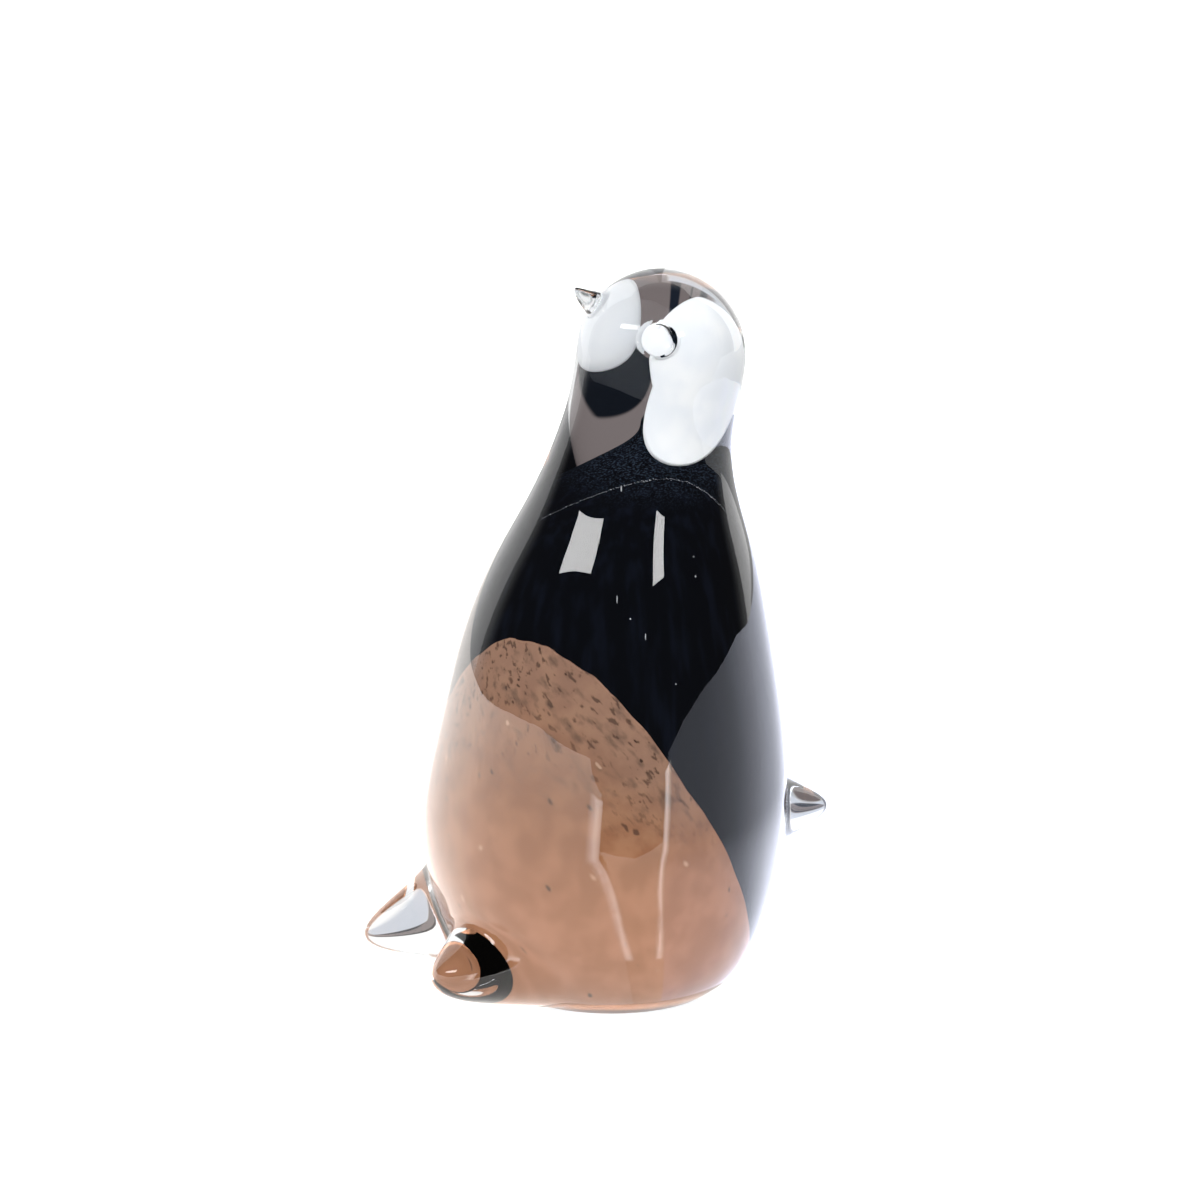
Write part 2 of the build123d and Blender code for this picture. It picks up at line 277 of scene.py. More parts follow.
# %% Close the skin
FLAT_RINGS = 7
shrink = np.linspace(0, 1, FLAT_RINGS + 2)[1:-1][::-1]
flat = [np.array([p[0] * s, p[1] * s, 0.0]) for s in shrink for p in skin[0]]
points = np.concatenate([skin.reshape(-1, 3), flat, [[0, 0, 0]]])
faces = grid_faces(ROWS, COLUMNS)
faces.append(tuple((ROWS - 1) * COLUMNS + c for c in range(COLUMNS)))
ground = []
lines = [0] + [(ROWS + i) * COLUMNS for i in range(FLAT_RINGS)]
for inner, outer in zip(lines[1:], lines[:-1]):
    for c in range(COLUMNS):
        d = (c + 1) % COLUMNS
        ground.append((outer + d, outer + c, inner + c, inner + d))
middle = len(points) - 1
ground += [(lines[-1] + (c + 1) % COLUMNS, lines[-1] + c, middle) for c in range(COLUMNS)]
clear_skin = make_piece("clear_skin", points, faces + ground)
for polygon in clear_skin.data.polygons[len(faces) :]:
    polygon.use_smooth = False

# %% [markdown]
# ## The core inside
# The black gather is a smaller turned form, drawn up and back into the neck. It could stop where the tan covers
# it, but a whole form is simpler, and it keeps the two from meeting in one plane: the black lies a little way
# under the surface that the tan climbs.

# %% Black core
CORE_TOP_RADIUS, CORE_COLUMNS, CORE_STEP, CORE_FOOT_ROWS = 4.5, 240, 6, 12
UNDER_TAN, CORE_TIP = 0.35, 0.01
core_stations = [
    (1.2, 13.6, 0.0, 0.0),
    (4.0, 16.6, -0.2, 0.0),
    (11.5, 19.4, -0.6, 0.0),
    (26.0, 21.2, -0.8, 0.0),
    (45.0, 19.6, 0.3, 0.0),
    (60.0, 17.3, 1.4, 0.0),
    (72.8, 14.2, 3.2, 0.0),
    (80.0, 11.2, 6.2, -0.9),
    (86.0, 7.5, 9.6, -3.2),
    (92.0, 4.5, 12.0, -5.5),
]
core_profile = turned_profile(core_stations, CORE_TOP_RADIUS)


def with_foot(table):
    """The profile with a flat foot in front of it, from the middle of the foot to its edge."""
    lead = np.linspace(0.002, 1, CORE_FOOT_ROWS)[:-1, None]
    foot = [0 * lead + table[0, 0], table[0, 1] * lead, table[0, 2] * lead, table[0, 3] * lead]
    return np.concatenate([np.hstack(foot), table])


core_turns = np.linspace(0, 2 * math.pi, CORE_COLUMNS, endpoint=False)
core_table = np.vstack([with_foot(core_profile)[::CORE_STEP], core_profile[-1]])
core_table[:, 1] = np.maximum(core_table[:, 1] - UNDER_TAN, CORE_TIP)
black_points = rings(core_table, core_turns)
black_faces = grid_faces(*black_points.shape[:2])
last_ring = (len(core_table) - 1) * CORE_COLUMNS
black_faces.append(tuple(range(CORE_COLUMNS - 1, -1, -1)))
black_faces.append(tuple(last_ring + c for c in range(CORE_COLUMNS)))
black_core = make_piece("black_core_glass", black_points, black_faces)

# %% [markdown]
# The tan lies on the core as a thin overlay that ends in a slanting edge. A plane could cut it from the core,
# but a cut leaves long thin faces along the edge. So it is a second grid that climbs the core's profile, column
# by column, only as far as that edge, and then curls in to meet the black. The edge of a hot overlay is never
# straight: three fine waves sway it, and it swells once on the side.

# %% Tan overlay
TAN_EDGE_HEIGHT, TAN_EDGE_SLOPE, TAN_EDGE_TURN = 29.2, 62.7, 26.5
TAN_ROWS = 130
EDGE_WAVES = ((0.35, 5, 1), (0.22, 13, 0), (0.12, 29, 2))  # height in mm, waves round the core, start
SWELL_HEIGHT, SWELL_TURN, SWELL_HALF_TURN = 2.2, 130, 22
CURL_UP, CURL_IN = [0.1, 0.12, 0.05, -0.3], [0.1, 0.3, 0.6, 1.2]
climb = with_foot(core_profile)
climb_side = along(climb)
uphill = facing(TAN_EDGE_TURN) * math.tan(math.radians(TAN_EDGE_SLOPE))
wobble = sum(size * np.sin(count * core_turns + start) for size, count, start in EDGE_WAVES)
swell = (core_turns - math.radians(SWELL_TURN)) / math.radians(SWELL_HALF_TURN)
wobble += SWELL_HEIGHT * np.exp(-(swell**2))
tan_columns = []
for turn, wave in zip(core_turns, wobble):
    line = rings(climb, np.array([turn]))[:, 0]
    over = line[:, 2] - (TAN_EDGE_HEIGHT + wave + line @ uphill)
    edge = climb_side[np.argmax(over > 0)]
    places = np.linspace(0, edge, TAN_ROWS)
    shape = np.array([np.interp(places, climb_side, climb[:, k]) for k in range(4)]).T
    curl = np.repeat(shape[-1:], len(CURL_UP), axis=0)
    curl[:, 0] += CURL_UP
    curl[:, 1] -= CURL_IN
    tan_columns.append(rings(np.vstack([shape, curl]), np.array([turn]))[:, 0])
tan_points = np.array(tan_columns).transpose(1, 0, 2)
tan_belly = make_piece("tan_belly_glass", tan_points, grid_faces(*tan_points.shape[:2]))

# %% [markdown]
# ## The white cheeks
# Each cheek is a dab of opal white glass, flattened on the hot form and cased over. A flattened ball would not
# lie along the head, so it is a curved lens: one face follows the casing's skin a little way in, the other
# bulges inwards, and they meet in a thin rim. The dab is fuller towards the front above its middle, and it leans.

# %% Cheek lens
CHEEK_COVER, CHEEK_THICKNESS, RIM_SHARPNESS = 1.5, 1.5, 6
FULLER_ABOVE, FULLER_BELOW, CHEEK_BOW = 0.6, -0.12, 0.10
CHEEK_RINGS, CHEEK_ROUND, LEAST_RADIUS = 25, 120, 0.5
reaches = np.linspace(0, 1, CHEEK_RINGS + 1)[1:]
rounds = np.linspace(0, 2 * math.pi, CHEEK_ROUND, endpoint=False)


def form_at(height):
    """Radius and set-back of the casing at a height, over the head as well as the body."""
    return [np.interp(height, casing_profile[:, 0], casing_profile[:, k]) for k in (1, 2)]


def cheek_layer(depth_and_painted_light, sign, middle_turn, half_turn, middle_height, half_height, lean):
    """Points of one face of a cheek: the outer face for depth 0 and the inner one for depth 1."""
    reach, angle = np.meshgrid(reaches, rounds, indexing="ij")
    up, aside = reach * np.cos(angle), reach * np.sin(angle)
    front_gain = 1 + np.where(up > 0, FULLER_ABOVE * up, FULLER_BELOW * up)
    aside = aside * np.where(aside < 0, front_gain, 1) + lean * up - CHEEK_BOW * up**2
    height = middle_height + half_height * up
    inset = CHEEK_COVER + depth_and_painted_light * CHEEK_THICKNESS * (1 - reach**RIM_SHARPNESS)
    radius, back = form_at(height)
    turn = np.radians(middle_turn + half_turn * aside)
    r = np.maximum(radius - inset, LEAST_RADIUS)
    return np.stack([sign * r * np.sin(turn), back - r * np.cos(turn), height], axis=2)


def cheek_lens(sign, *form):
    """Points and faces of a cheek: its two faces, joined at the rim and closed in the middle."""
    outer, inner = (cheek_layer(depth_and_painted_light, sign, *form) for depth_and_painted_light in (0.0, 1.0))
    middles = [outer[0].mean(axis=0), inner[0].mean(axis=0)]
    n, m = CHEEK_RINGS, CHEEK_ROUND
    points = np.concatenate([outer.reshape(-1, 3), inner[:-1].reshape(-1, 3), middles])
    faces = grid_faces(n, m)
    faces += [f[::-1] for f in grid_faces(n - 1, m, start=n * m)]
    inner_rim, outer_rim = n * m + (n - 2) * m, (n - 1) * m
    for c in range(m):
        d = (c + 1) % m
        faces.append((inner_rim + d, inner_rim + c, outer_rim + c, outer_rim + d))
        faces.append((d, c, len(points) - 2))
        faces.append((n * m + c, n * m + d, len(points) - 1))
    return points, faces if sign > 0 else [f[::-1] for f in faces]


print("a cheek has", CHEEK_RINGS, "rings of", CHEEK_ROUND, "points on each face")

# %% [markdown]
# Behind each eye the white is pressed into a round that shows through the dimple. It is a shallow disc that
# follows the ball of the head and joins the cheek's mesh, since it is the same dab of glass.

# %% Cheeks with their eye whites
EYE_WHITE_RADIUS, EYE_WHITE_RINGS, EYE_WHITE_ROUND = 3.5, 10, 48
EYE_WHITE_TURN, EYE_WHITE_RISE = EYE_TURN + 3, EYE_RISE + 0.5
EYE_WHITE_FRONT, EYE_WHITE_BACK = CHEEK_COVER - 0.15, CHEEK_COVER + 0.6


def eye_white(sign, start):
    """Points and faces of the round of white behind an eye, numbered from start."""
    out = facing(sign * EYE_WHITE_TURN, EYE_WHITE_RISE)
    level = np.cross([0, 0, 1], out) / math.cos(math.radians(EYE_WHITE_RISE))
    upward = np.cross(out, level)
    shares = np.linspace(0.02, 1, EYE_WHITE_RINGS)
    points = []
    for lay, order in ((EYE_WHITE_FRONT, shares), (EYE_WHITE_BACK, shares[::-1])):
        for q in order:
            tip = math.asin(q * EYE_WHITE_RADIUS / HEAD_RADIUS)
            for a in np.linspace(0, 2 * math.pi, EYE_WHITE_ROUND, endpoint=False):
                way = out * math.cos(tip) + (level * math.cos(a) + upward * math.sin(a)) * math.sin(tip)
                points.append(HEAD_MIDDLE + way * (HEAD_RADIUS - lay))
    ring_count, last = 2 * EYE_WHITE_RINGS, start + (2 * EYE_WHITE_RINGS - 1) * EYE_WHITE_ROUND
    faces = grid_faces(ring_count, EYE_WHITE_ROUND, start=start)
    faces.append(tuple(start + c for c in range(EYE_WHITE_ROUND - 1, -1, -1)))
    faces.append(tuple(last + c for c in range(EYE_WHITE_ROUND)))
    return points, faces


cheeks = []
for sign, name, *form in (  # middle and half turn, middle and half height, lean
    (1, "white_cheek_left", 112.0, 45.0, 102.2, 12.9, 0.14),
    (-1, "white_cheek_right", 72.0, 31.0, 106.3, 9.2, -0.12),
):
    points, faces = cheek_lens(sign, *form)
    white_points, white_faces = eye_white(sign, len(points))
    cheek = make_piece(name + "_glass", np.concatenate([points, white_points]), faces + white_faces)
    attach(cheek, "root")
    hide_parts(name)
    cheeks.append(cheek)

# %% [markdown]
# The punch pushes the white aside. Along the back of each dimple it leaves a fine crescent where the eye looks
# into the dark of the glass behind. That dark is painted: a dark line in the white's material would blur, so it
# is a thin closed ribbon of black glass just over the white, widest above the back corner.

# %% Painted dark crescents at the eyes
EYE_LINE_RADIUS, EYE_LINE_LAYS, EYE_LINE_TURN = 3.1, (1.15, 1.25), EYE_TURN + 2
LINE_STEPS, LINE_SECTION, LINE_FROM, LINE_TO = 48, 4, -85, 100
LINE_THIN, LINE_SWELL, SWELL_AT, SWELL_HALF = 0.08, 0.72, 0.55, 0.62
ribbon = []
for sign in (1, -1):
    out = facing(sign * EYE_LINE_TURN, EYE_RISE)
    back = np.cross([0, 0, sign], out) / math.cos(math.radians(EYE_RISE))
    upward = np.cross(out, sign * back)
    for a in np.radians(np.linspace(LINE_FROM, LINE_TO, LINE_STEPS)):
        width = LINE_THIN + LINE_SWELL * math.exp(-(((a - SWELL_AT) / SWELL_HALF) ** 2))
        for reach, lay in zip((0, width, width, 0), np.repeat(EYE_LINE_LAYS, 2)):
            tip = math.asin((EYE_LINE_RADIUS - reach) / HEAD_RADIUS)
            way = out * math.cos(tip) + (back * math.cos(a) + upward * math.sin(a)) * math.sin(tip)
            ribbon.append(HEAD_MIDDLE + way * (HEAD_RADIUS - lay))
faces = []
for start in (0, LINE_STEPS * LINE_SECTION):
    last = start + (LINE_STEPS - 1) * LINE_SECTION
    faces += grid_faces(LINE_STEPS, LINE_SECTION, start=start)
    faces.append(tuple(start + c for c in range(LINE_SECTION - 1, -1, -1)))
    faces.append(tuple(last + c for c in range(LINE_SECTION)))
painted_dark_eye_crescents = make_piece("eye_crescents_painted_dark", ribbon, faces)

# %% [markdown]
# ## Glass
# A material starts from what the glass is. One function turns an sRGB hex value to the linear colour that the
# shader wants, and one adds a node with its settings and links. The few settings that come back often are
# named once.


# %% Colours and nodes
def srgb(code):
    """Linear colour of an sRGB hex value."""
    parts = [int(code[i : i + 2], 16) / 255 for i in (1, 3, 5)]
    return [p / 12.92 if p <= 0.04045 else ((p + 0.055) / 1.055) ** 2.4 for p in parts] + [1.0]


def node(tree, kind, settings=None, **inputs):
    """Adds a shader node. Settings are its properties, and inputs its sockets by name or number. An input is a
    value, a hex colour, a socket to link, or a node whose first output in use is linked."""
    made = tree.nodes.new("ShaderNode" + kind)
    for key, value in (settings or {}).items():
        setattr(made, key, value)
    for key, value in inputs.items():
        socket = made.inputs[int(key[1:]) if key[1:].isdigit() else key.replace("_", " ")]
        if isinstance(value, bpy.types.Node):
            value = next(s for s in value.outputs if s.enabled)
        if isinstance(value, bpy.types.NodeSocket):
            tree.links.new(value, socket)
        else:
            socket.default_value = srgb(value) if isinstance(value, str) else value
    return made


def new_material(name):
    """An empty node material and its tree."""
    material = bpy.data.materials.new(name)
    material.use_nodes = True
    material.node_tree.nodes.clear()
    return material, material.node_tree


OPERATIONS = ("ADD", "SUBTRACT", "MULTIPLY", "MULTIPLY_ADD", "DOT_PRODUCT", "MINIMUM", "MAXIMUM")
ADD, SUBTRACT, MULTIPLY, MULTIPLY_ADD, DOT, LESSER, GREATER = ({"operation": o} for o in OPERATIONS)
SMOOTH, COLOURS = {"interpolation_type": "SMOOTHSTEP"}, {"data_type": "RGBA"}
print("a mid grey, #808080, is", round(srgb("#808080")[0], 3), "in linear light")

# %% [markdown]
# Fire-polished soda-lime glass is clear and smooth, but never dead true: a gather cools unevenly and keeps
# broad, shallow waves. A noise of 11 mm drives a bump of a fortieth of a millimetre, enough to sway a reflection.
# The skin casts no shadow, because a shadow of clear glass on the colours inside would need caustics to light it.

# %% Fire-polished clear glass
WAVES_PER_METRE, WAVE_HEIGHT = 90.0, 0.025 * MM
clear_glass, tree = new_material("soda_lime_glass_fire_polished")
own = node(tree, "TexCoord").outputs["Object"]
waves = node(tree, "TexNoise", Vector=own, Scale=WAVES_PER_METRE, Detail=1.0, Roughness=0.3)
ripple = node(tree, "Bump", Strength=1.0, Distance=WAVE_HEIGHT, Height=waves)
clear = {"Base_Color": "#fbfcfc", "Roughness": 0.0, "IOR": 1.5, "Transmission_Weight": 1.0}
shader = node(tree, "BsdfPrincipled", Normal=ripple, **clear)
node(tree, "OutputMaterial", Surface=shader)
clear_skin.data.materials.append(clear_glass)
clear_skin.visible_shadow = False
print(clear_glass.name, "with a wave each", round(1 / WAVES_PER_METRE / MM, 1), "mm")

# %% [markdown]
# The coloured glasses are opaque, and they are seen through the clear one with no air between, so they have no
# gloss of their own. The black is gathered and drawn up: faint streaks 1.6 mm wide run up it, and towards the
# neck it thins out to a navy speckle of fine seed, drawn 0.3 mm wide so that it shows.


# %% Black glass
def under_clear(material, colour, *pieces):
    """Finishes a material as matt glass of that colour, cased in clear glass, and puts it on the pieces."""
    tree = material.node_tree
    shader = node(tree, "BsdfPrincipled", Base_Color=colour, Roughness=0.9, Specular_IOR_Level=0.0)
    node(tree, "OutputMaterial", Surface=shader)
    for piece in pieces:
        piece.data.materials.append(material)
    print(material.name, len(tree.nodes), "nodes, on", len(pieces), "pieces")


STREAK_WIDTH, STREAK_STRETCH, SPECKLE_WIDTH = 1.6, 24, 0.3
NECK_FROM, NECK_TO = 80 * MM, 87 * MM
black_glass, tree = new_material("opaque_black_glass_gathered")
own = node(tree, "TexCoord").outputs["Object"]
height = node(tree, "SeparateXYZ", Vector=own).outputs["Z"]
drawn_up = node(tree, "VectorMath", MULTIPLY, _0=own, _1=(1, 1, 1 / STREAK_STRETCH))
streaks = node(tree, "TexNoise", Vector=drawn_up, Scale=1 / (STREAK_WIDTH * MM), Detail=2.0)
streaks = node(tree, "MapRange", SMOOTH, Value=streaks, From_Min=0.45, From_Max=0.75)
speckle = node(tree, "TexNoise", Vector=own, Scale=1 / (SPECKLE_WIDTH * MM), Detail=2.0)
speckle = node(tree, "MapRange", SMOOTH, Value=speckle, From_Min=0.45, From_Max=0.70)
neck = node(tree, "MapRange", SMOOTH, Value=height, From_Min=NECK_FROM, From_Max=NECK_TO)
seed = node(tree, "Math", MULTIPLY, _0=speckle, _1=neck)
colour = node(tree, "Mix", COLOURS, _0=streaks, _6="#05070c", _7="#0b0f18")
colour = node(tree, "Mix", COLOURS, _0=seed, _6=colour, _7="#27303c")
# The eye crescents wear the black glass as painted dark, where the dimples show the dark behind them.
under_clear(black_glass, colour, black_core, painted_dark_eye_crescents)
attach(painted_dark_eye_crescents, "root")

# %% [markdown]
# The tan is a thin overlay of a soft, seedy glass. Low on the belly it is painted paler, and higher up darker,
# as painted light coming up from the table. It stretched as it was marvered down, so towards the slanting edge
# it is thin, greyer, and streaked by the black beneath. The streaks lean, as the glass was drawn round as well
# as up, so their pattern is laid on a place that is rotated first.

# %% Tan glass
LIT_BELOW, UNLIT_ABOVE, HIGH_FROM, HIGH_TO = 12 * MM, 40 * MM, 24 * MM, 42 * MM
EDGE_FAR, EDGE_NEAR = (TAN_EDGE_HEIGHT - 42) * MM, (TAN_EDGE_HEIGHT - 3) * MM
BLOTCH_WIDTH, TAN_STREAK_WIDTH, TAN_STREAK_STRETCH = 4.0, 1.5, 2.4
LEAN_AXIS, LEAN = tuple(facing(55)), math.radians(-40)
tan_glass, tree = new_material("opaque_tan_glass_overlay_with_seed")
own = node(tree, "TexCoord").outputs["Object"]
height = node(tree, "SeparateXYZ", Vector=own).outputs["Z"]
below_edge = node(tree, "VectorMath", DOT, _0=own, _1=(-uphill[0], -uphill[1], 1.0))
near_edge = node(tree, "MapRange", SMOOTH, Value=below_edge, From_Min=EDGE_FAR, From_Max=EDGE_NEAR)
high_up = node(tree, "MapRange", SMOOTH, Value=height, From_Min=HIGH_FROM, From_Max=HIGH_TO)
# Painted light from below: full low on the belly, none high up.
depth_and_painted_light = node(tree, "MapRange", SMOOTH, Value=height, From_Min=UNLIT_ABOVE, From_Max=LIT_BELOW)
thin = node(tree, "Math", MULTIPLY, _0=near_edge, _1=high_up)
blotches = node(tree, "TexNoise", Vector=own, Scale=1 / (BLOTCH_WIDTH * MM), Detail=4.0)
blotches = node(tree, "MapRange", SMOOTH, Value=blotches, From_Min=0.35, From_Max=0.68)
# upper is the darker tone high up and lower the paler one low down, painted light from below.
upper = node(tree, "Mix", COLOURS, _0=blotches, _6="#895d43", _7="#9a6d50")
lower = node(tree, "Mix", COLOURS, _0=blotches, _6="#a97657", _7="#b88365")
colour = node(tree, "Mix", COLOURS, _0=depth_and_painted_light, _6=upper, _7=lower)
greyer = node(tree, "Math", MULTIPLY, _0=thin, _1=0.4)
colour = node(tree, "Mix", COLOURS, _0=greyer, _6=colour, _7="#8f7d74")
leaning = node(tree, "VectorRotate", Vector=own, Axis=LEAN_AXIS, Angle=LEAN)
drawn_out = node(tree, "VectorMath", MULTIPLY, _0=leaning, _1=(1, 1, 1 / TAN_STREAK_STRETCH))
streaks = node(tree, "TexNoise", Vector=drawn_out, Scale=1 / (TAN_STREAK_WIDTH * MM), Detail=4.0)
streaks = node(tree, "MapRange", SMOOTH, Value=streaks, From_Min=0.50, From_Max=0.74)
streaks = node(tree, "Math", MULTIPLY, _0=thin, _1=node(tree, "Math", MULTIPLY, _0=streaks, _1=0.8))
colour = node(tree, "Mix", COLOURS, _0=streaks, _6=colour, _7="#594a42")
print(tan_glass.name, len(tree.nodes), "nodes before its marks")

# %% [markdown]
# The overlay is full of small marks: pale seeds, dark ticks where it split, and dashes close together near the
# edge. The dashes are a noise cut off sharply. The rest is a Voronoi pattern: every cell has one middle, and its
# random colour picks whether that middle is a tick, a seed or nothing. A little noise added to the place bends
# the marks.

# %% Ticks and seeds in the tan
SWAY_PER_METRE, SWAY, MARK_STRETCH, PICK_STEP = 600.0, 0.9 * MM, 0.45, 0.01
DASH_WIDTH, DASH_STRETCH = 0.9, 2.6
sway = node(tree, "TexNoise", Vector=own, Scale=SWAY_PER_METRE, Detail=2.0).outputs["Color"]
sway = node(tree, "VectorMath", {"operation": "SCALE"}, _0=sway, Scale=SWAY)
bent = node(tree, "VectorMath", ADD, _0=leaning, _1=sway)
bent = node(tree, "VectorMath", MULTIPLY, _0=bent, _1=(1, 1, MARK_STRETCH))


def marks(size, half_width, low, high):
    """Short marks about that many millimetres apart, in the cells whose random number is between low and high."""
    cells = node(tree, "TexVoronoi", Vector=bent, Scale=1 / (size * MM))
    pick = node(tree, "SeparateColor", Color=cells.outputs["Color"])
    edge = half_width / size
    inside = node(tree, "MapRange", SMOOTH, Value=cells, From_Min=edge, From_Max=0.5 * edge)
    above = node(tree, "MapRange", SMOOTH, Value=pick, From_Min=low, From_Max=low + PICK_STEP)
    below = node(tree, "MapRange", SMOOTH, Value=pick, From_Min=high, From_Max=high - PICK_STEP)
    chosen = node(tree, "Math", MULTIPLY, _0=above, _1=below)
    return node(tree, "Math", MULTIPLY, _0=inside, _1=chosen)


dashes = node(tree, "VectorMath", MULTIPLY, _0=leaning, _1=(1, 1, 1 / DASH_STRETCH))
dashes = node(tree, "TexNoise", Vector=dashes, Scale=1 / (DASH_WIDTH * MM), Detail=3.0)
dashes = node(tree, "MapRange", SMOOTH, Value=dashes, From_Min=0.585, From_Max=0.66)
for mark, share, tint in (
    (marks(2.6, 0.42, 0.0, 0.22), 0.6, "#cfac92"),
    (marks(2.3, 0.42, 0.74, 1.1), 0.8, "#4c3a31"),
    (dashes, node(tree, "Math", MULTIPLY, _0=thin, _1=0.72), "#3a302b"),
    (marks(1.2, 0.27, 0.80, 1.1), node(tree, "Math", MULTIPLY, _0=thin, _1=0.9), "#2c2420"),
):
    share = node(tree, "Math", MULTIPLY, _0=mark, _1=share)
    colour = node(tree, "Mix", COLOURS, _0=share, _6=colour, _7=tint)
under_clear(tan_glass, colour, tan_belly)

# %% [markdown]
# Opal white is white because fine crystals grow in it as it cools. They are a little thinner in places, where
# the dab was pressed flat, so the white is faintly cloudy and cool. The clouds are about 6 mm across.

# %% Opal white glass
CLOUD_WIDTH = 6.0
white_glass, tree = new_material("opal_white_glass_dab")
own = node(tree, "TexCoord").outputs["Object"]
cloud = node(tree, "TexNoise", Vector=own, Scale=1 / (CLOUD_WIDTH * MM), Detail=3.0)
cloud = node(tree, "MapRange", SMOOTH, Value=cloud, From_Min=0.35, From_Max=0.70)
colour = node(tree, "Mix", COLOURS, _0=cloud, _6="#e9edf2", _7="#f4f6f8")
under_clear(white_glass, colour, *cheeks)

# %% [markdown]
# ## Trapped air
# Air is caught where the casing was laid over the black. It shows as a dotted line round the shoulder of the
# core, and as a few bubbles that were drawn long up the body. A pattern could draw them, but they lie in the
# depth of the glass, so each bubble is a small closed egg of mesh.

# %% Bubbles
EGG_LIFTS, EGG_ROUND = (-89, -60, -30, 0, 30, 60, 89), 8
SEAM_FROM, SEAM_TO, SEAM_COUNT, SEAM_MIDDLE = -78, 64, 170, 72
SEAM_TOP, SEAM_DIP, SEAM_HALF, SEAM_OVER, LONE_OVER = 85.4, 6.6, 70, 0.25, 0.2
SEAM_STRAY, SEAM_SIZES, SEAM_SHAPES = 0.07, (0.015, 0.06), (0.9, 1.6)
LONE_BUBBLES = (  # turn, height, half width, half height
    (40, 83.6, 0.09, 0.6),
    (68, 68.3, 0.08, 0.7),
    (84, 62.6, 0.08, 0.55),
    (76, 65.4, 0.1, 0.12),
    (110, 74.0, 0.09, 0.1),
    (112, 71.0, 0.08, 0.2),
    (99, 55.0, 0.09, 0.12),
)


def core_skin(turn, height, over):
    """The point that lies over the core's side by that much, at a turn and a height."""
    radius, back, lean = (np.interp(height, core_profile[:, 0], core_profile[:, k]) for k in (1, 2, 3))
    return np.array([lean, back, height]) + facing(turn) * (radius + over)


def egg(middle, half_width, half_height):
    """Points of a small egg, ring by ring."""
    lifts = [math.radians(a) for a in EGG_LIFTS]
    around = [math.radians(a) for a in range(0, 360, 360 // EGG_ROUND)]
    points = []
    for e in lifts:
        wide, high = half_width * math.cos(e), half_height * math.sin(e)
        points += [middle + [wide * math.cos(a), wide * math.sin(a), high] for a in around]
    return points


chance = np.random.default_rng(7)
eggs = []
for step in np.linspace(SEAM_FROM, SEAM_TO, SEAM_COUNT):
    height = SEAM_TOP - SEAM_DIP * (step / SEAM_HALF) ** 2 + chance.normal(0, SEAM_STRAY)
    size = chance.uniform(*SEAM_SIZES)
    tall = size * chance.uniform(*SEAM_SHAPES)
    eggs.append(egg(core_skin(SEAM_MIDDLE + step, height, SEAM_OVER), size, tall))
for turn, height, half_width, half_height in LONE_BUBBLES:
    eggs.append(egg(core_skin(turn, height, LONE_OVER), half_width, half_height))
faces = []
for k in range(len(eggs)):
    start = len(EGG_LIFTS) * EGG_ROUND * k
    last = start + (len(EGG_LIFTS) - 1) * EGG_ROUND
    faces += grid_faces(len(EGG_LIFTS), EGG_ROUND, start=start)
    faces.append(tuple(start + c for c in range(EGG_ROUND - 1, -1, -1)))
    faces.append(tuple(last + c for c in range(EGG_ROUND)))
trapped_air = make_piece("trapped_air_bubbles", np.array(eggs), faces)

# %% [markdown]
# The wall of a bubble in glass acts as a mirror, and shows bright dots and grey ones. At a few hundredths of a
# millimetre a true bubble would be lost in the render, so each one is given a matt wall instead, with those
# bright and grey dots painted on as its reflection.

# %% Bubble walls
GLINT_SIZE = 0.6
bubble_skin, tree = new_material("trapped_air_painted_reflection")
own = node(tree, "TexCoord").outputs["Object"]
# Painted reflection: bright and grey dots on a matt wall.
painted_glints = node(tree, "TexNoise", Vector=own, Scale=1 / (GLINT_SIZE * MM), Detail=2.0)
colour = node(tree, "Mix", COLOURS, _0=painted_glints, _6="#7f858d", _7="#dfe3e8")
under_clear(bubble_skin, colour, trapped_air)
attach(trapped_air, "root")

# %% [markdown]
# ## Riding on the frame
# Nothing on a lump of glass moves, so every piece rides on the one body, root. Each piece also says which of
# the CAD model's solids it stands for, and the list beside it names the finish it wears.

# %% Ride on the frame
for piece, nodes, finish in (
    (clear_skin, ("clear_casing", "beak", "left_foot", "right_foot", "tail"), "clear_glass"),
    (black_core, ("black_core",), "black_glass"),
    (tan_belly, ("tan_belly",), "tan_glass"),
):
    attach(piece, "root")
    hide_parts(*nodes)
    print(piece.name, "stands for", ", ".join(nodes))

# %% [markdown]
# ## Camera, table and light
# The photograph is high key: a white table and a white wall behind, brighter than the picture can hold, and
# a dim room in front. The camera looks at the penguin's left front from a little above. Its lens is worked out
# from how many pixels a millimetre takes up at the figure, so the two pictures can be laid over each other.

# %% Camera
VIEW_TURN, VIEW_RISE, VIEW_DISTANCE = 72.0, 13.0, 0.8
PIXELS_PER_MM, PICTURE, SENSOR = 6.152, 1200, 36.0
AIM_ASIDE, AIM_HEIGHT = -11 / PIXELS_PER_MM * MM, 65.05 * MM
toward = Vector(facing(VIEW_TURN, VIEW_RISE))
aim = Vector(facing(VIEW_TURN + 90)) * AIM_ASIDE + Vector((0, 0, AIM_HEIGHT))
camera_data = bpy.data.cameras.new("camera")
camera = bpy.data.objects.new("camera", camera_data)
bpy.context.collection.objects.link(camera)
camera.location = aim + toward * VIEW_DISTANCE
camera.rotation_mode = "QUATERNION"
camera.rotation_quaternion = (-toward).to_track_quat("-Z", "Y")
camera_data.sensor_width = SENSOR
camera_data.lens = SENSOR * VIEW_DISTANCE / (PICTURE / PIXELS_PER_MM * MM)
bpy.context.scene.camera = camera
print("lens", round(camera_data.lens, 1), "mm")
